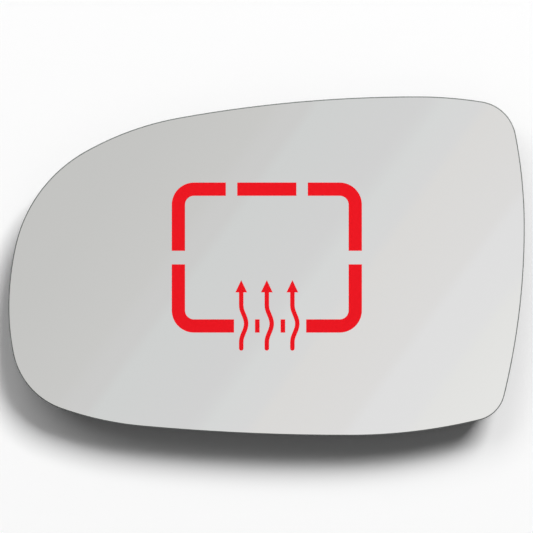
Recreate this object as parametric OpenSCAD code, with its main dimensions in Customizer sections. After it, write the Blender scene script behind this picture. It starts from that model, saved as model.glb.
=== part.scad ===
// Heated glass of a car door mirror, seen from its mirror side, with the moulded plate that carries it.
// The part lies on the rear face of its clip ring, and +Z points out of the mirror.
// The origin is on the clip ring's axis, level with that rear face. All lengths are in millimetres.

/* [Glass outline] */
// Reach of the glass from the clip ring's axis to its right edge
reach_right = 79.7; // [76:0.1:84]
// Reach of the glass from the clip ring's axis to its left edge
reach_left = 88.3; // [84:0.1:94]
// Reach of the glass from the clip ring's axis to its top edge
reach_up = 56.8; // [54:0.1:60]
// Reach of the glass from the clip ring's axis to its bottom edge
reach_down = 53.5; // [51:0.1:57]
// Place across the width where the top edge is highest
crown_x = 45; // [42:0.5:48]
// Place across the width where the bottom edge is lowest
keel_x = 22.8; // [18:0.1:28]
// Height at which the right edge reaches furthest
heel_y = 14.4; // [11:0.1:18]
// Height at which the left edge reaches furthest
nose_y = -12; // [-14:0.5:-9]
// Radius of the upper right corner
upper_right_r = 13.3; // [11:0.1:18]
// Radius of the lower right corner
lower_right_r = 10.8; // [9.5:0.1:16]
// Radius of the lower left corner
lower_left_r = 24; // [18:0.5:30]
// Radius of the slow bend between the bottom edge and the lower left corner
belly_r = 108; // [90:1:125]
// Radius of the shoulder above the left edge
shoulder_r = 46.6; // [38:0.1:54]
// Radius of the slow bend between the shoulder and the top edge
brow_r = 97; // [80:1:115]

/* [Glass] */
// Radius of the ball that the convex mirror surface is part of
mirror_r = 1400; // [1000:50:2000]
// Thickness of the float glass
glass_t = 2; // [1.6:0.1:3]

/* [Heating sign] */
// Overall width of the sign's broken frame
sign_w = 61.7; // [50:0.1:70]
// Overall height of the sign's broken frame
sign_h = 48.7; // [40:0.1:54]
// Place of the sign's centre across the glass
sign_x = -4.2; // [-12:0.1:6]
// Place of the sign's centre up the glass
sign_y = 4.4; // [0:0.1:8]
// Width of the frame's stroke
sign_stroke = 4.3; // [3:0.1:6]
// Outer radius of the frame's corners
sign_corner_r = 7.2; // [6:0.1:10]
// Length of the middle bar in the frame's top side
top_bar_w = 19.2; // [14:0.1:24]
// Break on each side of the middle bar
top_break = 3.7; // [2:0.1:6]
// Break in the middle of the frame's left and right sides
side_break = 4.4; // [2:0.1:8]
// Break in the frame's bottom side, where the arrows rise through it
arrow_break = 23.4; // [20:0.1:27]
// Distance from one arrow to the next
arrow_pitch = 8.3; // [7.5:0.1:9]
// Width of an arrow's shaft
arrow_shaft_w = 1.45; // [1:0.05:2]
// Width of an arrow's head
arrow_head_w = 3.8; // [3:0.1:5]
// Height of an arrow's head
arrow_head_h = 4; // [3:0.1:5]
// Height of a whole arrow
arrow_h = 22.9; // [20:0.1:26]
// Depth of an arrow's tip below the sign's centre
arrow_tip_drop = 7.3; // [5:0.1:9]
// Length of the straight shaft below the head
arrow_neck = 4.2; // [3:0.1:5]
// Height of the wave in an arrow's shaft
wave_run = 11.9; // [10:0.1:14]
// Sideways depth of that wave
wave_depth = 1.6; // [1:0.1:2]
// Width of the short dashes between the arrows
dash_w = 1.5; // [1:0.1:2]
// Thickness of the sign's film
sign_t = 0.1; // [0.05:0.01:0.3]

/* [Heater] */
// Thickness of the clear bond film between the glass and the heater
bond_t = 0.15; // [0.1:0.01:0.3]
// Thickness of the heater's carrier film
carrier_t = 0.2; // [0.1:0.01:0.4]
// Thickness of the etched heating track
track_t = 0.1; // [0.05:0.01:0.2]
// Distance of the bond film from the edge of the glass
bond_inset = 2; // [1.5:0.1:3]
// Distance of the carrier film from the edge of the glass
carrier_inset = 2.5; // [1.5:0.1:4]
// Distance of the track from the edge of the glass
track_inset = 5; // [3:0.1:8]
// Number of slits across the track, an odd number
track_slits = 15; // [9:2:19]
// Width of a slit in the track
slit_w = 0.8; // [0.5:0.1:1.5]
// Width that the track keeps past the closed end of a slit
turn_w = 6; // [4:0.5:9]
// Width of the return lead below the last slit
return_w = 5; // [4:0.5:8]

/* [Foam pad] */
// Thickness of the double-sided foam pad
foam_t = 0.8; // [0.5:0.1:1.5]
// Distance of the foam pad from the edge of the glass
foam_inset = 3.5; // [2:0.1:6]

/* [Backing plate] */
// Thickness of the plate's skin
skin_t = 2; // [1.5:0.1:3]
// Distance of the plate's edge from the edge of the glass
plate_inset = 1.2; // [0.8:0.1:3]
// Thickness of the flange around the plate's edge
flange_t = 1.6; // [1.2:0.1:2.5]
// Thickness of the ribs
rib_t = 1.4; // [1:0.1:2]
// Number of ribs that run out from the clip ring
rib_count = 12; // [8:2:16]
// Depth of the ribs behind the skin, beside the clip ring
rib_depth = 3.7; // [2.5:0.1:4.5]
// Depth of the ribs behind the skin, at the far edge of the plate
rib_edge_depth = 2.8; // [2:0.1:3.5]
// Middle radius of the rib that runs round between the clip ring and the edge
hoop_r = 46; // [43:0.5:48]

/* [Clip ring] */
// Height of the clip ring behind the skin
ring_h = 11; // [9:0.5:14]
// Outer radius of the clip ring
ring_r = 33; // [32:0.1:36]
// Radius of the seat that centres the mirror drive's disc
seat_r = 30.2; // [29.6:0.1:31]
// Depth of that seat from the ring's rear face
seat_depth = 4; // [3:0.1:5]
// Inner radius of the ring above the seat
ring_bore_r = 28.6; // [28:0.1:29.2]
// Chamfer on the ring's outer rear edge
ring_chamfer = 0.5; // [0.2:0.1:1]
// Width of the notch that shows which way up the plate goes
notch_w = 5; // [3:0.5:8]
// Reach of the gussets beside the ring
gusset_reach = 5; // [3:0.5:8]
// Distance of the gussets from the ring's rear face
gusset_top = 2.5; // [1.5:0.1:4]

/* [Snap fingers] */
// Number of snap fingers inside the clip ring
finger_count = 8; // [4:1:10]
// Angle that a finger spans, in degrees
finger_span = 24; // [16:1:28]
// Outer radius of a finger's leg
finger_r = 25.2; // [24:0.1:25.6]
// Thickness of a finger's leg
finger_t = 1.6; // [1.2:0.1:2.2]
// Reach of a finger's hook past its leg
hook_reach = 1.4; // [0.8:0.1:2]
// Distance of the fingertips from the bottom of the seat
tip_gap = 0.4; // [0.2:0.1:1]
// Height of a hook's lead-in slope
hook_lead = 1.4; // [1:0.1:2]
// Height of a hook's nose
hook_nose = 0.5; // [0.3:0.1:1]
// Height of the slope on a hook's holding face
hook_catch = 0.4; // [0.2:0.1:0.8]
// Clearance round a hook's opening in the skin
shut_off_gap = 0.5; // [0.3:0.1:1]

/* [Terminals] */
// Place of the terminals across the plate
terminal_x = -57; // [-62:0.5:-54]
// Distance between the two terminals
terminal_pitch = 19; // [17:0.5:24]
// Width of a terminal's blade
blade_w = 6.3; // [4.8:0.1:6.3]
// Thickness of a terminal's strip
blade_t = 0.8; // [0.5:0.1:0.8]
// Height of a blade behind the heater film
blade_h = 9.5; // [8:0.5:10]
// Length of a terminal's foot, from the blade's face
foot_l = 7.5; // [6:0.1:8]
// Radius of the hole in the blade that a connector's detent drops into
detent_r = 0.9; // [0.6:0.05:1.1]
// Distance of that hole from the blade's end
detent_drop = 3; // [2.5:0.1:4]
// Bevel on the end of the blade
blade_bevel = 0.9; // [0.5:0.1:1.2]
// Radius of a rivet's shank
rivet_r = 1.2; // [0.8:0.1:1.5]
// Radius of a rivet's head
rivet_head_r = 2.1; // [1.8:0.1:2.5]
// Thickness of a rivet's rear head
rivet_head_t = 0.5; // [0.3:0.1:0.8]
// Clearance between a terminal's foot and the plate's window
window_gap = 1.2; // [0.8:0.1:2]
// Width of the rim round a window
window_rim_t = 1.2; // [1:0.1:1.6]
// Height of that rim behind the skin
window_rim_h = 1.5; // [0.8:0.1:2.5]

/* [Moulding marks] */
// Radius of an ejector pin's mark on the plate's rear face
ejector_r = 2; // [1:0.1:2.5]
// Depth of an ejector pin's mark
ejector_depth = 0.2; // [0.1:0.05:0.4]
// Distance of the ejector marks from the clip ring's axis
ejector_reach = 41.5; // [40:0.1:42]
// Radius of the well that keeps the gate's stub below the plate's rear face
gate_well_r = 3.2; // [2:0.1:5]
// Depth of the gate well
gate_well_depth = 0.6; // [0.3:0.1:0.8]
// Radius of the gate's stub
gate_stub_r = 0.9; // [0.5:0.1:1.5]

/* [Hidden] */

// Turns of the long edges and of the slow bends, in degrees, clockwise from the top point.
top_right_turn = 8.9;
right_upper_turn = 11;
right_lower_turn = 13.7;
bottom_right_turn = 13.6;
bottom_left_turn = 5.1;
belly_turn = 14.4;
left_lower_turn = 11.4;
left_upper_turn = 13;
shoulder_turn = 47.4;
top_left_turn = 10.2;
quarter = 90;

// Furthest that a chord of the drawn outline may lie inside its arc
chord_gap = 0.01;
// Fineness of the drawn curves
arc_fn = 240;
ball_fn = 256;
small_fn = 48;
wave_steps = 20;
foot_steps = 8;
slit_steps = 6;
// Length by which cutting shapes pass the faces that they cut
over = 1;
// Working clearance of parts that slip into each other
slip = 0.05;
// Gap under a flat foot or head that lies on a curved layer
seat_gap = 0.02;

// Stack of the layers, as radii of balls with one centre
glass_back_r = mirror_r - glass_t;
bond_back_r = glass_back_r - bond_t;
carrier_back_r = bond_back_r - carrier_t;
track_back_r = carrier_back_r - track_t;
skin_front_r = track_back_r - foam_t;
skin_back_r = skin_front_r - skin_t;
skin_middle_r = skin_front_r - skin_t / 2;
ball_z = ring_h - skin_back_r;
crown_z = ball_z + mirror_r;
// Radius that takes in the whole outline
far_r = norm([reach_left, reach_up]);

function sum(list, i = 0) = i == len(list) ? 0 : list[i] + sum(list, i + 1);
function outward(angle) = [cos(angle), sin(angle)];
// Fall of a ball's surface at a distance from its top
function fall(ball_r, distance) = ball_r - sqrt(pow(ball_r, 2) - pow(distance, 2));

// A quadrant runs from one extreme point of the outline to the next, run along and rise across.
// Its corner arcs are [radius, turn] pairs, and the two long arcs beside them close it smoothly.
function quadrant(run, rise, first_turn, corner, last_turn) =
    let (
        last_start = quarter - last_turn,
        starts = [for (i = 0, f = first_turn; i < len(corner); f = f + corner[i][1], i = i + 1) f],
        ends = [for (i = [0:len(corner) - 1]) starts[i] + corner[i][1]],
        run_left = run - sum([for (i = [0:len(corner) - 1])
            corner[i][0] * (sin(ends[i]) - sin(starts[i]))]),
        rise_left = rise - sum([for (i = [0:len(corner) - 1])
            corner[i][0] * (cos(starts[i]) - cos(ends[i]))]),
        share = sin(first_turn) * cos(last_start) - (1 - sin(last_start)) * (1 - cos(first_turn)),
        first_r = (run_left * cos(last_start) - rise_left * (1 - sin(last_start))) / share,
        last_r = (rise_left * sin(first_turn) - run_left * (1 - cos(first_turn))) / share
    )
    concat([[first_r, first_turn]], corner, [[last_r, last_turn]]);

// Arcs as [centre, radius, angle of the outward normal at the start, turn], clockwise
function chain(point, angle, arcs, i = 0) =
    i == len(arcs) ? [] :
    let (
        centre = point - arcs[i][0] * outward(angle),
        next_angle = angle - arcs[i][1]
    )
    concat([[centre, arcs[i][0], angle, arcs[i][1]]],
           chain(centre + arcs[i][0] * outward(next_angle), next_angle, arcs, i + 1));

outline_arcs = chain([crown_x, reach_up], quarter, concat(
    quadrant(reach_right - crown_x, reach_up - heel_y, top_right_turn,
             [[upper_right_r, quarter - top_right_turn - right_upper_turn]], right_upper_turn),
    quadrant(heel_y + reach_down, reach_right - keel_x, right_lower_turn,
             [[lower_right_r, quarter - right_lower_turn - bottom_right_turn]], bottom_right_turn),
    quadrant(keel_x + reach_left, reach_down + nose_y, bottom_left_turn,
             [[belly_r, belly_turn],
              [lower_left_r, quarter - bottom_left_turn - belly_turn - left_lower_turn]], left_lower_turn),
    quadrant(reach_up - nose_y, reach_left + crown_x, left_upper_turn,
             [[shoulder_r, shoulder_turn],
              [brow_r, quarter - left_upper_turn - shoulder_turn - top_left_turn]], top_left_turn)));

// Height of the outline's top edge, and of its bottom edge, at a place across the width
function arc_reaches(arc, x, inset) =
    let (from = (arc[0] + (arc[1] - inset) * outward(arc[2])).x,
         to = (arc[0] + (arc[1] - inset) * outward(arc[2] - arc[3])).x)
    x >= min(from, to) && x < max(from, to);
function arc_rise(arc, x, inset) = sqrt(pow(arc[1] - inset, 2) - pow(x - arc[0].x, 2));
function top_edge(x, inset) = max([for (arc = outline_arcs)
    if (sin(arc[2] - arc[3] / 2) > 0 && arc_reaches(arc, x, inset)) arc[0].y + arc_rise(arc, x, inset)]);
function bottom_edge(x, inset) = min([for (arc = outline_arcs)
    if (sin(arc[2] - arc[3] / 2) < 0 && arc_reaches(arc, x, inset)) arc[0].y - arc_rise(arc, x, inset)]);

// Chords that draw an arc closely enough
function chords(arc) = ceil(arc[3] / (2 * acos(1 - chord_gap / arc[1])));

// The glass outline, drawn in by an inset that keeps every arc on its own centre
module outline(inset) {
    polygon([for (arc = outline_arcs, i = [0:chords(arc) - 1])
        arc[0] + (arc[1] - inset) * outward(arc[2] - arc[3] * i / chords(arc))]);
}

// A ball about the centre of the mirror surface, with its poles off to the sides
module ball(r) {
    translate([0, 0, ball_z]) rotate([quarter, 0, 0]) sphere(r, $fn = ball_fn);
}

// A curved layer with the plan of its children
module layer(front_r, back_r) {
    lowest = ball_z + back_r - fall(back_r, far_r) - over;
    difference() {
        intersection() {
            translate([0, 0, lowest]) linear_extrude(crown_z + over + sign_t - lowest) children();
            ball(front_r);
        }
        ball(back_r);
    }
}

// Stands its children square on the layer of radius r, over the place [x, y]
module square_on(place, r) {
    translate([0, 0, ball_z])
        rotate([-asin(place.y / r), 0, 0])
        rotate([0, asin(place.x / (r * cos(asin(place.y / r)))), 0])
        translate([0, 0, r])
        children();
}

module mirror_glass() {
    color([0.81, 0.82, 0.81]) layer(mirror_r, glass_back_r) outline(0);
}

// Heating sign: a broken frame and three rising arrows

module rounded_rectangle(w, h, r) {
    square([w - 2 * r, h], center = true);
    square([w, h - 2 * r], center = true);
    for (side = [-1, 1], end = [-1, 1])
        translate([side * (w / 2 - r), end * (h / 2 - r)]) circle(r, $fn = small_fn);
}

// Point on the side of an arrow's waving shaft, at a share t of the wave, on the right or on the left
function shaft_side(t, side) =
    let (
        lean = wave_depth * PI * sin(4 * quarter * t),
        middle = [wave_depth * (1 - cos(4 * quarter * t)) / 2, -arrow_head_h - arrow_neck - wave_run * t]
    )
    middle + side * arrow_shaft_w / 2 * [wave_run, lean] / norm([wave_run, lean]);

// An arrow with its tip at the origin, as one outline: head, right side, round foot and left side
module arrow() {
    foot_y = -arrow_h + arrow_shaft_w / 2;
    right_side = [for (i = [0:wave_steps]) shaft_side(i / wave_steps, 1)];
    left_side = [for (i = [wave_steps:-1:0]) shaft_side(i / wave_steps, -1)];
    round_foot = [for (i = [0:foot_steps])
        [0, foot_y] + arrow_shaft_w / 2 * outward(-2 * quarter * i / foot_steps)];
    polygon(concat([[0, 0], [arrow_head_w / 2, -arrow_head_h], [arrow_shaft_w / 2, -arrow_head_h]],
                   right_side, round_foot, left_side,
                   [[-arrow_shaft_w / 2, -arrow_head_h], [-arrow_head_w / 2, -arrow_head_h]]));
}

module sign_plan() {
    side_y = sign_h / 2 - sign_stroke / 2;
    wave_middle = wave_depth * 2 / 3;
    difference() {
        rounded_rectangle(sign_w, sign_h, sign_corner_r);
        rounded_rectangle(sign_w - 2 * sign_stroke, sign_h - 2 * sign_stroke, sign_corner_r - sign_stroke);
        for (side = [-1, 1])
            translate([side * (top_bar_w + top_break) / 2, side_y])
                square([top_break, 2 * sign_stroke], center = true);
        square([sign_w + over, side_break], center = true);
        translate([wave_middle, -side_y]) square([arrow_break, 2 * sign_stroke], center = true);
    }
    for (side = [-1, 1])
        translate([wave_middle + side * arrow_pitch / 2, -side_y])
            square([dash_w, sign_stroke], center = true);
    for (i = [-1:1]) translate([i * arrow_pitch, -arrow_tip_drop]) arrow();
}

module heating_sign() {
    color([0.92, 0.11, 0.14]) layer(mirror_r + sign_t, mirror_r) translate([sign_x, sign_y]) sign_plan();
}

// Heater

// Distance of a rivet's axis from the rear face of its terminal's blade
rivet_x = (foot_l + blade_t) / 2;
upper_place = [terminal_x + rivet_x, terminal_pitch / 2];
lower_place = [terminal_x + rivet_x, -terminal_pitch / 2];
rivet_places = [upper_place, lower_place];
window_l = foot_l + 2 * window_gap;
window_w = blade_w + 2 * window_gap;

// The terminals' plan of windows, grown all round by a margin
module terminal_windows(margin) {
    for (place = rivet_places)
        translate([terminal_x - window_gap - margin, place.y - window_w / 2 - margin])
            square([window_l + 2 * margin, window_w + 2 * margin]);
}

// Holes of radius r for the rivets, square to the layers
module rivet_holes(r) {
    for (place = rivet_places)
        square_on(place, glass_back_r)
            translate([0, 0, -glass_t])
            cylinder(glass_t + over, r = r, $fn = small_fn);
}

module bond_film() {
    color([0.93, 0.93, 0.88, 0.5]) difference() {
        layer(glass_back_r, bond_back_r) outline(bond_inset);
        rivet_holes(rivet_head_r + slip);
    }
}

module heater_film() {
    color([0.85, 0.6, 0.25, 0.8]) difference() {
        layer(bond_back_r, carrier_back_r) outline(carrier_inset);
        rivet_holes(rivet_r + slip);
    }
}

// A slit with round ends, which keep the current from crowding there
module slit(low, high) {
    top_end = [for (i = [0:slit_steps]) [0, high] + slit_w / 2 * outward(2 * quarter * i / slit_steps)];
    bottom_end = [for (i = [0:slit_steps]) [0, low] - slit_w / 2 * outward(2 * quarter * i / slit_steps)];
    polygon(concat(top_end, bottom_end));
}

// One foil from edge to edge, slit from above and below by turns, so that the current winds from the
// upper terminal to the right edge and comes back along the bottom edge to the lower terminal.
module track_plan() {
    first_x = terminal_x + foot_l + window_gap;
    last_x = reach_right - track_inset - turn_w - upper_right_r / 2;
    pitch = (last_x - first_x) / (track_slits - 1);
    return_y = bottom_edge(last_x, track_inset) + return_w;
    difference() {
        outline(track_inset);
        translate([-reach_left, -slit_w / 2]) square([reach_left + first_x, slit_w]);
        translate([first_x - slit_w / 2, return_y - slit_w / 2])
            square([last_x - first_x + slit_w, slit_w]);
        for (i = [0:track_slits - 1]) {
            x = first_x + i * pitch;
            joins_return = i % 2 == 0;
            low = joins_return ? return_y : return_y + turn_w;
            high = joins_return ? top_edge(x, track_inset) - turn_w : reach_up;
            translate([x, 0]) slit(low, high);
        }
    }
}

module heater_track() {
    color([0.72, 0.73, 0.74]) difference() {
        layer(carrier_back_r, track_back_r) track_plan();
        rivet_holes(rivet_r + slip);
    }
}

module foam_pad() {
    color([0.2, 0.2, 0.21]) layer(track_back_r, skin_front_r) difference() {
        outline(foam_inset);
        terminal_windows(0);
    }
}

// Backing plate

// Cone that the free edges of the ribs and the flange lie on: height where it meets the ring, and its fall
rib_ring_z = ring_h - fall(skin_back_r, ring_r) - rib_depth;
rib_far_z = ring_h - fall(skin_back_r, far_r) - rib_edge_depth;
rib_cone_fall = (rib_ring_z - rib_far_z) / (far_r - ring_r);

module rib_plan() {
    intersection() {
        outline(plate_inset + flange_t / 2);
        for (i = [0:rib_count - 1])
            rotate(i * 360 / rib_count)
                translate([ring_r - ring_chamfer, -rib_t / 2])
                square([far_r, rib_t]);
    }
    difference() {
        outline(plate_inset);
        outline(plate_inset + flange_t);
    }
    difference() {
        circle(hoop_r + rib_t / 2, $fn = arc_fn);
        circle(hoop_r - rib_t / 2, $fn = arc_fn);
    }
}

module ribs() {
    difference() {
        intersection() {
            translate([0, 0, rib_far_z]) linear_extrude(crown_z) rib_plan();
            ball(skin_middle_r);
        }
        translate([0, 0, rib_far_z - over])
            cylinder(far_r * rib_cone_fall + over, r1 = far_r + over / rib_cone_fall, r2 = 0, $fn = arc_fn);
    }
}

// Gussets between the clip ring and the ribs
module gussets() {
    root_z = rib_ring_z + rib_depth / 2;
    for (i = [0:rib_count - 1])
        rotate([quarter, 0, i * 360 / rib_count])
            translate([0, 0, -rib_t / 2])
            linear_extrude(rib_t)
            polygon([[ring_r - ring_chamfer, gusset_top], [ring_r, gusset_top],
                     [ring_r + gusset_reach, rib_ring_z], [ring_r + gusset_reach, root_z],
                     [ring_r - ring_chamfer, root_z]]);
}

module clip_ring() {
    root_z = ring_h + skin_t / 2 - fall(skin_back_r, ring_r);
    difference() {
        rotate_extrude($fn = arc_fn)
            polygon([[seat_r, 0], [ring_r - ring_chamfer, 0], [ring_r, ring_chamfer], [ring_r, root_z],
                     [ring_bore_r, root_z], [ring_bore_r, seat_depth], [seat_r, seat_depth]]);
        rotate(180 / rib_count)
            translate([-notch_w / 2, 0, -over])
            cube([notch_w, ring_r + over, seat_depth + over]);
    }
}

module snap_finger() {
    root_z = ring_h + skin_t / 2 - fall(skin_back_r, finger_r);
    tip_z = seat_depth + tip_gap;
    nose_z = tip_z + hook_lead;
    catch_z = nose_z + hook_nose;
    rotate([0, 0, -finger_span / 2])
        rotate_extrude(angle = finger_span, $fn = arc_fn)
        polygon([[finger_r - finger_t, tip_z], [finger_r - finger_t / 4, tip_z],
                 [finger_r + hook_reach, nose_z], [finger_r + hook_reach, catch_z],
                 [finger_r, catch_z + hook_catch], [finger_r, root_z], [finger_r - finger_t, root_z]]);
}

// Marks of the ejector pins between the ribs, and the gate well with its stub on the ring's axis
module moulding_marks() {
    mark_z = ring_h - fall(skin_back_r, ejector_reach) + ejector_depth;
    for (i = [0:rib_count - 1])
        rotate([0, 0, (i + 1 / 2) * 360 / rib_count])
            translate([ejector_reach, 0, mark_z - over])
            cylinder(over, r = ejector_r, $fn = small_fn);
    translate([0, 0, ring_h - over])
        difference() {
            cylinder(gate_well_depth + over, r = gate_well_r, $fn = small_fn);
            translate([0, 0, over]) cylinder(gate_well_depth + over, r = gate_stub_r, $fn = small_fn);
        }
}

// Openings in the skin through which the mould shapes the hooks
module shut_offs() {
    span = finger_span + 2 * asin(shut_off_gap / finger_r);
    for (i = [0:finger_count - 1])
        rotate([0, 0, (i + 1 / 2) * 360 / finger_count - span / 2])
            rotate_extrude(angle = span, $fn = arc_fn)
            translate([finger_r, ring_h - over]) square([hook_reach + shut_off_gap, skin_t + 2 * over]);
}

module window_rims() {
    rim_z = ring_h - fall(skin_back_r, norm([terminal_x, terminal_pitch / 2])) - window_rim_h;
    translate([0, 0, rim_z]) linear_extrude(window_rim_h + skin_t / 2) terminal_windows(window_rim_t);
}

module backing_plate() {
    color([0.09, 0.09, 0.1]) {
        difference() {
            union() {
                layer(skin_front_r, skin_back_r) outline(plate_inset);
                ribs();
                gussets();
                window_rims();
            }
            shut_offs();
            moulding_marks();
            translate([0, 0, -over]) linear_extrude(crown_z) terminal_windows(0);
        }
        clip_ring();
        for (i = [0:finger_count - 1]) rotate([0, 0, (i + 1 / 2) * 360 / finger_count]) snap_finger();
    }
}

// Terminals and rivets stand on the rivet's axis, with their heights counted from the back of the glass.
// A terminal is an L-shaped strip, its foot flat on the heater film and its blade standing out behind.

foot_z = -bond_t - carrier_t - track_t - seat_gap;

module terminal() {
    tip = -blade_h;
    color([0.8, 0.79, 0.74]) translate([0, 0, foot_z]) {
        difference() {
            translate([-rivet_x, -blade_w / 2, -blade_t]) cube([foot_l, blade_w, blade_t]);
            translate([0, 0, -blade_t - over])
                cylinder(blade_t + 2 * over, r = rivet_r + slip, $fn = small_fn);
        }
        translate([-rivet_x, 0, 0]) difference() {
            rotate([quarter, 0, quarter])
                linear_extrude(blade_t)
                polygon([[-blade_w / 2, 0], [blade_w / 2, 0], [blade_w / 2, tip + blade_bevel],
                         [blade_w / 2 - blade_bevel, tip], [-blade_w / 2 + blade_bevel, tip],
                         [-blade_w / 2, tip + blade_bevel]]);
            translate([-over, 0, tip + detent_drop])
                rotate([0, quarter, 0])
                cylinder(blade_t + 2 * over, r = detent_r, $fn = small_fn);
        }
    }
}

module upper_terminal() {
    square_on(upper_place, glass_back_r) terminal();
}

module lower_terminal() {
    square_on(lower_place, glass_back_r) terminal();
}

module rivet() {
    rear_z = foot_z - blade_t;
    color([0.75, 0.72, 0.62])
        rotate_extrude($fn = small_fn)
        polygon([[0, -seat_gap], [rivet_head_r, -seat_gap], [rivet_head_r, -bond_t], [rivet_r, -bond_t],
                 [rivet_r, rear_z], [rivet_head_r, rear_z], [rivet_head_r, rear_z - rivet_head_t / 2],
                 [rivet_r, rear_z - rivet_head_t], [0, rear_z - rivet_head_t]]);
}

module upper_rivet() {
    square_on(upper_place, glass_back_r) rivet();
}

module lower_rivet() {
    square_on(lower_place, glass_back_r) rivet();
}

mirror_glass();
heating_sign();
bond_film();
heater_film();
heater_track();
foam_pad();
backing_plate();
upper_terminal();
lower_terminal();
upper_rivet();
lower_rivet();
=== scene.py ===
"""Looks of the heated mirror glass: its finishes, its ground edge, and the studio that it lies in."""
import math

import bmesh
import bpy
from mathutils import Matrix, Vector


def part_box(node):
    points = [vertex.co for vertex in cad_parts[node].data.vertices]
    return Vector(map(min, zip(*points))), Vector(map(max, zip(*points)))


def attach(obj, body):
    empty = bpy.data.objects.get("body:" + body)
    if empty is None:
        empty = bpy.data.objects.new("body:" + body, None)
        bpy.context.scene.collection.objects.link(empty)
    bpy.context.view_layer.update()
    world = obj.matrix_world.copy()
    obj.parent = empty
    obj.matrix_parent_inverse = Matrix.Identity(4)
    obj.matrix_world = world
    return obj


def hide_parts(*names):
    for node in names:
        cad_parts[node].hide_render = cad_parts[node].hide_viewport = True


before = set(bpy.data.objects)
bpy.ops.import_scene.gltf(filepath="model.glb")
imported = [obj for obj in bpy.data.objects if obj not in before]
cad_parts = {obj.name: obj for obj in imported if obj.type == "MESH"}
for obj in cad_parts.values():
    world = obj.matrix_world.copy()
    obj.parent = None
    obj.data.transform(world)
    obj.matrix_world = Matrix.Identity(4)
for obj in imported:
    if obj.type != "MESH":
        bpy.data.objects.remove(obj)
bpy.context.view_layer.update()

MM = 0.001
BODY = "root"

# Mirror surface: part of a ball whose centre lies on the clip ring's axis
MIRROR_R = 1400 * MM
GLASS_T = 2 * MM
SIGN_T = 0.1 * MM
CROWN_Z = max(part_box("heating_sign")[1].z - SIGN_T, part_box("mirror_glass")[1].z)
BALL_Z = CROWN_Z - MIRROR_R

# Ground edge of the glass, and the size of the cells that its curved faces are cut into
ARRIS = 0.35 * MM
CELL = 3 * MM

# Finishes of the glass by their place in its list of materials
MIRROR_FACE = 0
GROUND_EDGE = 1
PAINTED_BACK = 2

# Corner roundings that a moulding or a stamping leaves
MOULDED_ROUND = 0.08 * MM
STAMPED_ROUND = 0.06 * MM

# CAD meshes: corners this near are one, an edge under the first angle is flat and one over the second is
# sharp, and the normal of a front face rises by at least this much
MERGE_DIST = 0.001 * MM
FLAT_ANGLE = math.radians(0.5)
SHARP_ANGLE = math.radians(28)
FRONT_NORMAL_Z = 0.9

# A corner this near to a cell's border lies on it
CUT_DIST = 0.0001 * MM

# Sizes of the patterns in the finishes. Those marked coarse are finer on the real thing, and drawn to show
GLASS_DRAW = 26 * MM
GLASS_HAZE = 9 * MM
GRIT_LINE = 0.35 * MM  # coarse
ROLLER_STIPPLE = 0.8 * MM
VINYL_PEEL = 0.9 * MM
ADHESIVE_STREAK = 1.5 * MM
CASTING_LINE = 0.7 * MM
FOIL_LINE = 0.3 * MM  # coarse
FOAM_CELL = 0.45 * MM
MOULD_GRAIN = 0.4 * MM  # coarse
MOULD_FLOW = 18 * MM
STRIP_LINE = 0.25 * MM  # coarse
RIVET_DIMPLE = 0.5 * MM

# Most of a noise pattern lies between these values
NOISE_LOW = 0.3
NOISE_HIGH = 0.7

# Outer edge of the clip ring, across which the mould's grain sets in
GRAIN_FROM = 32.6 * MM
GRAIN_FULL = 33.2 * MM

# Photograph: a square frame of this width at the height of the glass, centred on this place
FRAME_W = 173.3 * MM
FRAME_X = -4.3 * MM
FRAME_Y = 1.5 * MM
FRAME_Z = 14 * MM
CAMERA_RISE = 1.0
SENSOR_W = 36

# Softboxes: turn from the right in degrees, sides in metres, power in watts. All lean over by one angle
SOFTBOXES = {
    "key_softbox": {"turn": 58, "width": 3, "height": 2.5, "power": 485},
    "side_softbox": {"turn": 120, "width": 6, "height": 3, "power": 153},
}
SOFTBOX_LEAN = math.radians(45)
SOFTBOX_AWAY = 7
FILL = 0.12

# White of the backdrop and of the table top that runs out into it
BACKDROP_WHITE = "#FDFDFD"

# Tones overhead, in slightly warm and cool bands along this way, from the upper left to the lower right
BANDS_WAY = (0.809, -0.588, 0)
SKY_BANDS = [
    (0.0, "#8E8E8C"), (0.38, "#CBCBC9"), (0.43, "#CECECC"), (0.461, "#D2D2D0"), (0.467, "#D5D5D4"),
    (0.473, "#D5D5D4"), (0.475, "#D8DAD9"), (0.511, "#DBDBDB"), (0.513, "#DFE1E0"), (0.529, "#E1E1E1"),
    (0.531, "#E4E3E1"), (0.559, "#E6E5E4"), (0.561, "#E9E9E9"), (0.579, "#EAEAEA"), (0.581, "#ECECEA"),
    (0.6, "#EFEFED"), (1.0, "#F8F8F6"),
]

# Tones by the sine of the height: a white backdrop, a grey wall over it, a strip light, and the ceiling
LOW_BANDS = [
    (0.0, BACKDROP_WHITE), (0.02, BACKDROP_WHITE), (0.1, "#B6B6B5"), (0.33, "#8E8E8D"), (0.355, "#F0F0EF"),
    (0.43, "#FCFCFC"), (0.455, "#A6A6A4"), (0.8, "#D4D4D2"),
]

# The tones overhead take over from the lower ones between these sines
OVERHEAD_FROM = 0.6
OVERHEAD_FULL = 0.95

# Floor: lit within the first distance of the object, and plain white from the second on
FLOOR_LIT = 0.15
FLOOR_WHITE = 0.5
FLOOR_REACH = 6


def linear(hex_colour):
    """An sRGB colour such as #1a2b3c as linear red, green, blue and a full alpha."""
    values = [int(hex_colour[i:i + 2], 16) / 255 for i in (1, 3, 5)]
    return (*(v / 12.92 if v <= 0.04045 else ((v + 0.055) / 1.055) ** 2.4 for v in values), 1.0)


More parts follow.
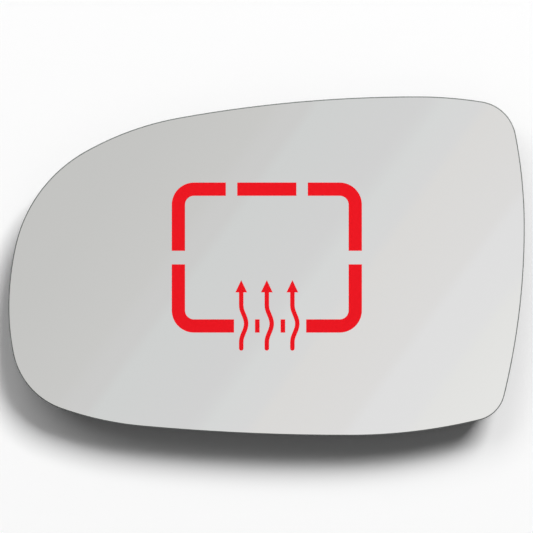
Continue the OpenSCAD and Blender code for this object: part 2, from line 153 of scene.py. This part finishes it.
def add(tree, kind, inputs=None, **settings):
    """Adds a shader node: settings are its own, inputs are values or the sockets that feed it."""
    made = tree.nodes.new(kind)
    for name, value in settings.items():
        setattr(made, name, value)
    for socket, value in (inputs or {}).items():
        if isinstance(value, bpy.types.NodeSocket):
            tree.links.new(value, made.inputs[socket])
        else:
            made.inputs[socket].default_value = value
    return made


def new_material(name):
    """An empty node material, its node tree and the object coordinates."""
    material = bpy.data.materials.new(name)
    material.use_nodes = True
    tree = material.node_tree
    tree.nodes.clear()
    place = add(tree, "ShaderNodeTexCoord").outputs["Object"]
    return material, tree, place


def finish_material(tree, surface, bump):
    """Joins the bump to the surface, and the surface to the output."""
    tree.links.new(bump.outputs["Normal"], surface.inputs["Normal"])
    add(tree, "ShaderNodeOutputMaterial", {"Surface": surface.outputs["BSDF"]})


def ramp_stops(ramp, stops):
    """Sets a colour ramp's stops from (place, hex colour) pairs."""
    elements = ramp.color_ramp.elements
    while len(elements) < len(stops):
        elements.new(1.0)
    for element, (place, colour) in zip(elements, stops):
        element.position = place
        element.color = linear(colour)


def mirror_coating():
    """Chromium sputtered on the back of clear float glass: seen from the front it makes the whole face a
    neutral, very sharp mirror, with a trace of the glass's draw."""
    material, tree, place = new_material("sputtered_chrome_mirror")
    draw = add(tree, "ShaderNodeMapping", {"Vector": place, "Scale": (1, 0.35, 1)})
    waves = add(tree, "ShaderNodeTexNoise", {
        "Vector": draw.outputs[0], "Scale": 1 / GLASS_DRAW, "Detail": 1.0})
    haze = add(tree, "ShaderNodeTexNoise", {"Vector": place, "Scale": 1 / GLASS_HAZE, "Detail": 4.0})
    polish = add(tree, "ShaderNodeMapRange", {
        "Value": haze.outputs["Fac"], "From Min": NOISE_LOW, "From Max": NOISE_HIGH,
        "To Min": 0.015, "To Max": 0.035})
    bump = add(tree, "ShaderNodeBump", {
        "Height": waves.outputs["Fac"], "Strength": 0.3, "Distance": 0.004 * MM})
    surface = add(tree, "ShaderNodeBsdfPrincipled", {
        "Base Color": linear("#F4F4F4"), "Metallic": 1.0, "Roughness": polish.outputs["Result"]})
    finish_material(tree, surface, bump)
    return material


def ground_glass():
    """Float glass ground with a diamond belt: a satin grey edge, hardly green, with grit lines round it."""
    material, tree, place = new_material("ground_float_glass")
    grit = add(tree, "ShaderNodeMapping", {"Vector": place, "Scale": (1, 1, 5)})
    lines = add(tree, "ShaderNodeTexNoise", {
        "Vector": grit.outputs[0], "Scale": 1 / GRIT_LINE, "Detail": 3.0})
    tone = add(tree, "ShaderNodeValToRGB", {"Fac": lines.outputs["Fac"]})
    ramp_stops(tone, [(NOISE_LOW, "#545956"), (NOISE_HIGH, "#737875")])
    bump = add(tree, "ShaderNodeBump", {
        "Height": lines.outputs["Fac"], "Strength": 0.4, "Distance": 0.03 * MM})
    surface = add(tree, "ShaderNodeBsdfPrincipled", {
        "Base Color": tone.outputs["Color"], "Roughness": 0.5, "IOR": 1.52})
    finish_material(tree, surface, bump)
    return material


def backing_paint():
    """Protective paint rolled on the back of the glass: dull grey with a faint roller stipple."""
    material, tree, place = new_material("rolled_backing_paint")
    stipple = add(tree, "ShaderNodeTexNoise", {"Vector": place, "Scale": 1 / ROLLER_STIPPLE, "Detail": 3.0})
    tone = add(tree, "ShaderNodeValToRGB", {"Fac": stipple.outputs["Fac"]})
    ramp_stops(tone, [(0.35, "#565B5C"), (0.65, "#63686A")])
    bump = add(tree, "ShaderNodeBump", {
        "Height": stipple.outputs["Fac"], "Strength": 0.4, "Distance": 0.02 * MM})
    surface = add(tree, "ShaderNodeBsdfPrincipled", {
        "Base Color": tone.outputs["Color"], "Roughness": 0.6, "IOR": 1.5})
    finish_material(tree, surface, bump)
    return material


def sign_print():
    """Red cast vinyl film: an even, strong red with a soft gloss and a faint orange peel."""
    material, tree, place = new_material("cast_vinyl_red")
    peel = add(tree, "ShaderNodeTexNoise", {"Vector": place, "Scale": 1 / VINYL_PEEL, "Detail": 2.0})
    tone = add(tree, "ShaderNodeValToRGB", {"Fac": peel.outputs["Fac"]})
    ramp_stops(tone, [(NOISE_LOW, "#E80F1B"), (NOISE_HIGH, "#EC131F")])
    bump = add(tree, "ShaderNodeBump", {
        "Height": peel.outputs["Fac"], "Strength": 0.25, "Distance": 0.01 * MM})
    surface = add(tree, "ShaderNodeBsdfPrincipled", {
        "Base Color": tone.outputs["Color"], "Roughness": 0.38, "IOR": 1.5, "Specular IOR Level": 0.2})
    finish_material(tree, surface, bump)
    return material


def bond_adhesive():
    """Clear acrylic transfer adhesive: a milky, soft-looking film with slow streaks from the roller."""
    material, tree, place = new_material("acrylic_transfer_adhesive")
    streaks = add(tree, "ShaderNodeMapping", {"Vector": place, "Scale": (0.15, 1, 1)})
    noise = add(tree, "ShaderNodeTexNoise", {
        "Vector": streaks.outputs[0], "Scale": 1 / ADHESIVE_STREAK, "Detail": 2.0})
    tone = add(tree, "ShaderNodeValToRGB", {"Fac": noise.outputs["Fac"]})
    ramp_stops(tone, [(NOISE_LOW, "#DAD8CC"), (NOISE_HIGH, "#E8E6DA")])
    bump = add(tree, "ShaderNodeBump", {
        "Height": noise.outputs["Fac"], "Strength": 0.3, "Distance": 0.02 * MM})
    surface = add(tree, "ShaderNodeBsdfPrincipled", {
        "Base Color": tone.outputs["Color"], "Roughness": 0.35, "IOR": 1.47, "Transmission Weight": 0.4})
    finish_material(tree, surface, bump)
    return material


def heater_carrier():
    """Tinted polyester film: a see-through amber sheet, smooth, with fine casting lines."""
    material, tree, place = new_material("cast_polyester_film")
    lines = add(tree, "ShaderNodeMapping", {"Vector": place, "Scale": (0.05, 1, 1)})
    noise = add(tree, "ShaderNodeTexNoise", {
        "Vector": lines.outputs[0], "Scale": 1 / CASTING_LINE, "Detail": 3.0})
    tone = add(tree, "ShaderNodeValToRGB", {"Fac": noise.outputs["Fac"]})
    ramp_stops(tone, [(NOISE_LOW, "#B5641A"), (NOISE_HIGH, "#C97826")])
    bump = add(tree, "ShaderNodeBump", {
        "Height": noise.outputs["Fac"], "Strength": 0.2, "Distance": 0.01 * MM})
    surface = add(tree, "ShaderNodeBsdfPrincipled", {
        "Base Color": tone.outputs["Color"], "Roughness": 0.22, "IOR": 1.64, "Transmission Weight": 0.35})
    finish_material(tree, surface, bump)
    return material


def etched_foil():
    """Etched aluminium foil: bright grey with fine roll lines along its length."""
    material, tree, place = new_material("etched_aluminium_foil")
    lines = add(tree, "ShaderNodeMapping", {"Vector": place, "Scale": (0.03, 1, 1)})
    noise = add(tree, "ShaderNodeTexNoise", {
        "Vector": lines.outputs[0], "Scale": 1 / FOIL_LINE, "Detail": 3.0})
    rough = add(tree, "ShaderNodeMapRange", {
        "Value": noise.outputs["Fac"], "From Min": NOISE_LOW, "From Max": NOISE_HIGH,
        "To Min": 0.3, "To Max": 0.5})
    tone = add(tree, "ShaderNodeValToRGB", {"Fac": noise.outputs["Fac"]})
    ramp_stops(tone, [(NOISE_LOW, "#BFC2C4"), (NOISE_HIGH, "#D5D7D8")])
    bump = add(tree, "ShaderNodeBump", {
        "Height": noise.outputs["Fac"], "Strength": 0.3, "Distance": 0.01 * MM})
    surface = add(tree, "ShaderNodeBsdfPrincipled", {
        "Base Color": tone.outputs["Color"], "Metallic": 1.0, "Roughness": rough.outputs["Result"]})
    finish_material(tree, surface, bump)
    return material


def pad_foam():
    """Closed-cell polyethylene foam: charcoal, matt, with small open cells at its cut faces."""
    material, tree, place = new_material("polyethylene_foam")
    cells = add(tree, "ShaderNodeTexVoronoi", {"Vector": place, "Scale": 1 / FOAM_CELL})
    tone = add(tree, "ShaderNodeValToRGB", {"Fac": cells.outputs["Distance"]})
    ramp_stops(tone, [(0.0, "#1C1D1F"), (0.6, "#34363A")])
    bump = add(tree, "ShaderNodeBump", {
        "Height": cells.outputs["Distance"], "Strength": 0.7, "Distance": 0.12 * MM})
    surface = add(tree, "ShaderNodeBsdfPrincipled", {
        "Base Color": tone.outputs["Color"], "Roughness": 0.92, "IOR": 1.45})
    finish_material(tree, surface, bump)
    return material


def moulded_abs():
    """Black ABS from a spark-eroded mould: a matt grain, smoother inside the clip ring, with faint flow."""
    material, tree, place = new_material("spark_grained_abs")
    grain = add(tree, "ShaderNodeTexNoise", {"Vector": place, "Scale": 1 / MOULD_GRAIN, "Detail": 4.0})
    flow = add(tree, "ShaderNodeTexNoise", {"Vector": place, "Scale": 1 / MOULD_FLOW, "Detail": 2.0})
    flat = add(tree, "ShaderNodeVectorMath", {0: place, 1: (1, 1, 0)}, operation="MULTIPLY")
    reach = add(tree, "ShaderNodeVectorMath", {0: flat.outputs[0]}, operation="LENGTH")
    outside = add(tree, "ShaderNodeMapRange", {
        "Value": reach.outputs["Value"], "From Min": GRAIN_FROM, "From Max": GRAIN_FULL,
        "To Min": 0.12, "To Max": 1.0})
    depth = add(tree, "ShaderNodeMath", {0: grain.outputs["Fac"], 1: outside.outputs["Result"]},
                operation="MULTIPLY")
    rough = add(tree, "ShaderNodeMapRange", {
        "Value": outside.outputs["Result"], "To Min": 0.38, "To Max": 0.62})
    tone = add(tree, "ShaderNodeValToRGB", {"Fac": flow.outputs["Fac"]})
    ramp_stops(tone, [(NOISE_LOW, "#151617"), (NOISE_HIGH, "#1E1F21")])
    bump = add(tree, "ShaderNodeBump", {"Height": depth.outputs[0], "Strength": 0.6, "Distance": 0.06 * MM})
    surface = add(tree, "ShaderNodeBsdfPrincipled", {
        "Base Color": tone.outputs["Color"], "Roughness": rough.outputs["Result"], "IOR": 1.53})
    finish_material(tree, surface, bump)
    return material


def tinned_brass():
    """Stamped brass strip with hot-dipped tin: warm silver faces, and bare yellow brass at the cut edges."""
    material, tree, place = new_material("tinned_stamped_brass")
    lines = add(tree, "ShaderNodeMapping", {"Vector": place, "Scale": (1, 1, 0.06)})
    noise = add(tree, "ShaderNodeTexNoise", {
        "Vector": lines.outputs[0], "Scale": 1 / STRIP_LINE, "Detail": 3.0})
    normal = add(tree, "ShaderNodeTexCoord").outputs["Normal"]
    facing = add(tree, "ShaderNodeSeparateXYZ", {0: normal})
    side = add(tree, "ShaderNodeMath", {0: facing.outputs["Y"]}, operation="ABSOLUTE")
    cut = add(tree, "ShaderNodeMapRange", {"Value": side.outputs[0], "From Min": 0.75, "From Max": 0.9})
    tin = add(tree, "ShaderNodeValToRGB", {"Fac": noise.outputs["Fac"]})
    ramp_stops(tin, [(NOISE_LOW, "#C9C5BA"), (NOISE_HIGH, "#DEDACF")])
    tone = add(tree, "ShaderNodeMix", {
        "Factor": cut.outputs["Result"], "A": tin.outputs["Color"], "B": linear("#C9A65A")},
        data_type="RGBA")
    rough = add(tree, "ShaderNodeMapRange", {
        "Value": noise.outputs["Fac"], "From Min": NOISE_LOW, "From Max": NOISE_HIGH,
        "To Min": 0.3, "To Max": 0.38})
    bump = add(tree, "ShaderNodeBump", {
        "Height": noise.outputs["Fac"], "Strength": 0.15, "Distance": 0.005 * MM})
    surface = add(tree, "ShaderNodeBsdfPrincipled", {
        "Base Color": tone.outputs["Result"], "Metallic": 1.0, "Roughness": rough.outputs["Result"]})
    finish_material(tree, surface, bump)
    return material


def headed_rivet():
    """Tinned copper rivet: a soft bright metal, dimpled a little where the tool closed it."""
    material, tree, place = new_material("tinned_copper_rivet")
    noise = add(tree, "ShaderNodeTexNoise", {"Vector": place, "Scale": 1 / RIVET_DIMPLE, "Detail": 3.0})
    tone = add(tree, "ShaderNodeValToRGB", {"Fac": noise.outputs["Fac"]})
    ramp_stops(tone, [(NOISE_LOW, "#CFC6B8"), (NOISE_HIGH, "#E2DACD")])
    bump = add(tree, "ShaderNodeBump", {
        "Height": noise.outputs["Fac"], "Strength": 0.4, "Distance": 0.03 * MM})
    surface = add(tree, "ShaderNodeBsdfPrincipled", {
        "Base Color": tone.outputs["Color"], "Metallic": 1.0, "Roughness": 0.3})
    finish_material(tree, surface, bump)
    return material


def merged_copy(node):
    """A copy of a CAD node's mesh, with its loose triangles joined."""
    bm = bmesh.new()
    bm.from_mesh(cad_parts[node].data)
    bmesh.ops.remove_doubles(bm, verts=bm.verts, dist=MERGE_DIST)
    return bm


def settle_order(bm):
    """Puts the mesh's elements in order of place, because the operators leave another order in each run."""
    places = ((bm.verts, lambda vert: vert.co[:]),
              (bm.edges, lambda edge: sorted(vert.co[:] for vert in edge.verts)),
              (bm.faces, lambda face: sorted(vert.co[:] for vert in face.verts)))
    for elements, place in places:
        ranks = {element: rank for rank, element in enumerate(sorted(elements, key=place))}
        elements.sort(key=ranks.get)


def make_piece(bm, node, materials):
    """Makes the finished mesh a piece that stands for its CAD node."""
    settle_order(bm)
    mesh = bpy.data.meshes.new(node + "_finished")
    bm.to_mesh(mesh)
    bm.free()
    for material in materials:
        mesh.materials.append(material)
    piece = bpy.data.objects.new(node + "_finished", mesh)
    bpy.context.scene.collection.objects.link(piece)
    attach(piece, BODY)
    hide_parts(node)
    return piece


def front_plan(node):
    """The front face of a curved layer, laid flat, each island one face."""
    bm = merged_copy(node)
    others = [face for face in bm.faces if face.normal.z < FRONT_NORMAL_Z]
    bmesh.ops.delete(bm, geom=others, context="FACES")
    for vert in bm.verts:
        vert.co.z = 0
    bmesh.ops.dissolve_faces(bm, faces=bm.faces[:])
    return bm


def cut_cells(bm):
    """Cuts the first material's faces into cells, so that they can follow a ball. An arris stays whole."""
    for axis in (Vector((1, 0, 0)), Vector((0, 1, 0))):
        reaches = [vert.co.dot(axis) for vert in bm.verts]
        first = math.floor(min(reaches) / CELL) + 1
        last = math.ceil(max(reaches) / CELL)
        for step in range(first, last):
            faces = [face for face in bm.faces if face.material_index == 0]
            edges = list(dict.fromkeys(edge for face in faces for edge in face.edges))
            verts = list(dict.fromkeys(vert for face in faces for vert in face.verts))
            bmesh.ops.bisect_plane(bm, geom=verts + edges + faces, dist=CUT_DIST,
                                   plane_co=axis * step * CELL, plane_no=axis)


def ball_height(vert, ball_r):
    """Height of the ball of that radius over a vertex's place."""
    return BALL_Z + math.sqrt(ball_r ** 2 - vert.co.x ** 2 - vert.co.y ** 2)


def second_layer(bm):
    """Adds a second layer of faces, joined to the first by walls, and returns its vertices and faces."""
    added = bmesh.ops.extrude_face_region(bm, geom=bm.faces[:], use_keep_orig=True)["geom"]
    verts = {item for item in added if isinstance(item, bmesh.types.BMVert)}
    faces = [item for item in added if isinstance(item, bmesh.types.BMFace)]
    return verts, faces


def mirror_glass():
    """The glass: a dense convex mirror face, a narrow arris, the ground edge and the painted back."""
    bm = front_plan("mirror_glass")
    arris = bmesh.ops.inset_region(bm, faces=bm.faces[:], thickness=ARRIS, use_boundary=True,
                                   use_even_offset=True)["faces"]
    for face in arris:
        face.material_index = GROUND_EDGE
    cut_cells(bm)
    for edge in bm.edges:
        kinds = {face.material_index for face in edge.link_faces}
        edge.smooth = len(kinds) == 1 and len(edge.link_faces) == 2
    rim = {vert for edge in bm.edges if len(edge.link_faces) == 1 for vert in edge.verts}
    back_verts, back_faces = second_layer(bm)
    back_rim = {edge.other_vert(vert) for vert in rim for edge in vert.link_edges
                if edge.other_vert(vert) in back_verts}
    for vert in bm.verts:
        if vert in back_verts:
            vert.co.z = ball_height(vert, MIRROR_R - GLASS_T) + (ARRIS if vert in back_rim else 0)
        else:
            vert.co.z = ball_height(vert, MIRROR_R) - (ARRIS if vert in rim else 0)
    for face in back_faces:
        if face.material_index == MIRROR_FACE:
            face.material_index = PAINTED_BACK
    for face in bm.faces:
        face.smooth = True
        if all(vert in rim or vert in back_rim for vert in face.verts):
            face.material_index = GROUND_EDGE
    bmesh.ops.recalc_face_normals(bm, faces=bm.faces[:])
    make_piece(bm, "mirror_glass", [mirror_coating(), ground_glass(), backing_paint()])


def heating_sign():
    """The sign's film, cut sharp and bent to the glass."""
    bm = front_plan("heating_sign")
    cut_cells(bm)
    for edge in bm.edges:
        edge.smooth = len(edge.link_faces) == 2
    under_verts = second_layer(bm)[0]
    for vert in bm.verts:
        vert.co.z = ball_height(vert, MIRROR_R + (0 if vert in under_verts else SIGN_T))
    for face in bm.faces:
        face.smooth = True
    bmesh.ops.recalc_face_normals(bm, faces=bm.faces[:])
    make_piece(bm, "heating_sign", [sign_print()])


def dressed_copy(node, material, rounding):
    """A CAD solid with its flat faces joined, its sharp edges rounded and its curves shaded smooth."""
    bm = merged_copy(node)
    bmesh.ops.dissolve_limit(bm, angle_limit=FLAT_ANGLE, verts=bm.verts[:], edges=bm.edges[:])
    for face in bm.faces:
        face.smooth = True
    for edge in bm.edges:
        edge.smooth = len(edge.link_faces) == 2 and edge.calc_face_angle(0) < SHARP_ANGLE
    bevel = make_piece(bm, node, [material]).modifiers.new("rounding", "BEVEL")
    bevel.width = rounding
    bevel.segments = 2
    bevel.limit_method = "ANGLE"
    bevel.angle_limit = SHARP_ANGLE
    bevel.harden_normals = True


def paint_node(node, material):
    """Gives a CAD node that stays its finish."""
    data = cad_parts[node].data
    data.materials.clear()
    data.materials.append(material)


def seen_directly(tree):
    """One for the rays that show a background: from the camera, off a gloss or through a clear surface."""
    ray = add(tree, "ShaderNodeLightPath")
    direct = add(tree, "ShaderNodeMath", {0: ray.outputs["Is Camera Ray"], 1: ray.outputs["Is Glossy Ray"]},
                 operation="MAXIMUM")
    return add(tree, "ShaderNodeMath", {0: direct.outputs[0], 1: ray.outputs["Is Transmission Ray"]},
               operation="MAXIMUM").outputs[0]


def studio_world():
    """A white backdrop, and the studio that the mirror shows: wall, strip light and ceiling, in bands."""
    world = bpy.data.worlds.new("studio")
    bpy.context.scene.world = world
    world.use_nodes = True
    tree = world.node_tree
    tree.nodes.clear()
    way = add(tree, "ShaderNodeTexCoord").outputs["Generated"]
    across = add(tree, "ShaderNodeVectorMath", {0: way, 1: BANDS_WAY}, operation="DOT_PRODUCT")
    share = add(tree, "ShaderNodeMapRange", {
        "Value": across.outputs["Value"], "From Min": -1, "From Max": 1})
    overhead = add(tree, "ShaderNodeValToRGB", {"Fac": share.outputs["Result"]})
    ramp_stops(overhead, SKY_BANDS)
    rise = add(tree, "ShaderNodeSeparateXYZ", {0: way})
    low = add(tree, "ShaderNodeValToRGB", {"Fac": rise.outputs["Z"]})
    ramp_stops(low, LOW_BANDS)
    low_part = add(tree, "ShaderNodeMapRange", {
        "Value": rise.outputs["Z"], "From Min": OVERHEAD_FROM, "From Max": OVERHEAD_FULL},
        interpolation_type="SMOOTHSTEP")
    seen_colour = add(tree, "ShaderNodeMix", {
        "Factor": low_part.outputs["Result"], "A": low.outputs["Color"], "B": overhead.outputs["Color"]},
        data_type="RGBA")
    mirrored = add(tree, "ShaderNodeBackground", {"Color": seen_colour.outputs["Result"], "Strength": 1.0})
    backdrop = add(tree, "ShaderNodeBackground", {"Color": linear(BACKDROP_WHITE), "Strength": 1.0})
    ray = add(tree, "ShaderNodeLightPath")
    seen = add(tree, "ShaderNodeMixShader", {
        0: ray.outputs["Is Camera Ray"], 1: mirrored.outputs[0], 2: backdrop.outputs[0]})
    fill = add(tree, "ShaderNodeBackground", {"Color": linear("#FFFFFF"), "Strength": FILL})
    direct = seen_directly(tree)
    mixed = add(tree, "ShaderNodeMixShader", {0: direct, 1: fill.outputs[0], 2: seen.outputs[0]})
    add(tree, "ShaderNodeOutputWorld", {"Surface": mixed.outputs[0]})


def studio_floor():
    """A plain white table top, which runs out into the white of the backdrop away from the object."""
    bm = bmesh.new()
    bmesh.ops.create_grid(bm, x_segments=1, y_segments=1, size=FLOOR_REACH)
    mesh = bpy.data.meshes.new("floor")
    bm.to_mesh(mesh)
    bm.free()
    material, tree, place = new_material("white_table_top")
    lit = add(tree, "ShaderNodeBsdfDiffuse", {"Color": linear(BACKDROP_WHITE)})
    white = add(tree, "ShaderNodeEmission", {"Color": linear(BACKDROP_WHITE), "Strength": 1.0})
    reach = add(tree, "ShaderNodeVectorMath", {0: place}, operation="LENGTH")
    away = add(tree, "ShaderNodeMapRange", {
        "Value": reach.outputs["Value"], "From Min": FLOOR_LIT, "From Max": FLOOR_WHITE},
        interpolation_type="SMOOTHSTEP")
    direct = seen_directly(tree)
    share = add(tree, "ShaderNodeMath", {0: away.outputs["Result"], 1: direct}, operation="MULTIPLY")
    surface = add(tree, "ShaderNodeMixShader", {0: share.outputs[0], 1: lit.outputs[0], 2: white.outputs[0]})
    add(tree, "ShaderNodeOutputMaterial", {"Surface": surface.outputs[0]})
    mesh.materials.append(material)
    floor = bpy.data.objects.new("floor", mesh)
    bpy.context.scene.collection.objects.link(floor)


def soft_light(name, turn, width, height, power):
    """A softbox beyond the glass's top edge, which throws a soft shadow down. The mirror doesn't show it."""
    lamp = bpy.data.lights.new(name, "AREA")
    lamp.shape = "RECTANGLE"
    lamp.size = width
    lamp.size_y = height
    lamp.energy = power
    softbox = bpy.data.objects.new(name, lamp)
    heading = math.radians(turn)
    outward = math.sin(SOFTBOX_LEAN)
    to_lamp = Vector((outward * math.cos(heading), outward * math.sin(heading), math.cos(SOFTBOX_LEAN)))
    softbox.location = to_lamp * SOFTBOX_AWAY
    softbox.rotation_mode = "QUATERNION"
    softbox.rotation_quaternion = to_lamp.to_track_quat("Z", "Y")
    softbox.visible_glossy = False
    bpy.context.scene.collection.objects.link(softbox)


def photo_camera():
    """The photograph's view: straight down on the mirror, from about a metre away."""
    data = bpy.data.cameras.new("photo")
    data.sensor_width = SENSOR_W
    data.lens = SENSOR_W * CAMERA_RISE / FRAME_W
    camera = bpy.data.objects.new("photo", data)
    camera.location = (FRAME_X, FRAME_Y, FRAME_Z + CAMERA_RISE)
    bpy.context.scene.collection.objects.link(camera)
    bpy.context.scene.camera = camera


bpy.context.scene.view_settings.view_transform = "Standard"
photo_camera()
studio_world()
studio_floor()
for softbox_name, softbox_facts in SOFTBOXES.items():
    soft_light(softbox_name, **softbox_facts)

mirror_glass()
heating_sign()
paint_node("bond_film", bond_adhesive())
paint_node("heater_film", heater_carrier())
paint_node("heater_track", etched_foil())
paint_node("foam_pad", pad_foam())
dressed_copy("backing_plate", moulded_abs(), MOULDED_ROUND)
brass = tinned_brass()
rivet_metal = headed_rivet()
for tier in ("upper", "lower"):
    dressed_copy(tier + "_terminal", brass, STAMPED_ROUND)
    dressed_copy(tier + "_rivet", rivet_metal, STAMPED_ROUND)
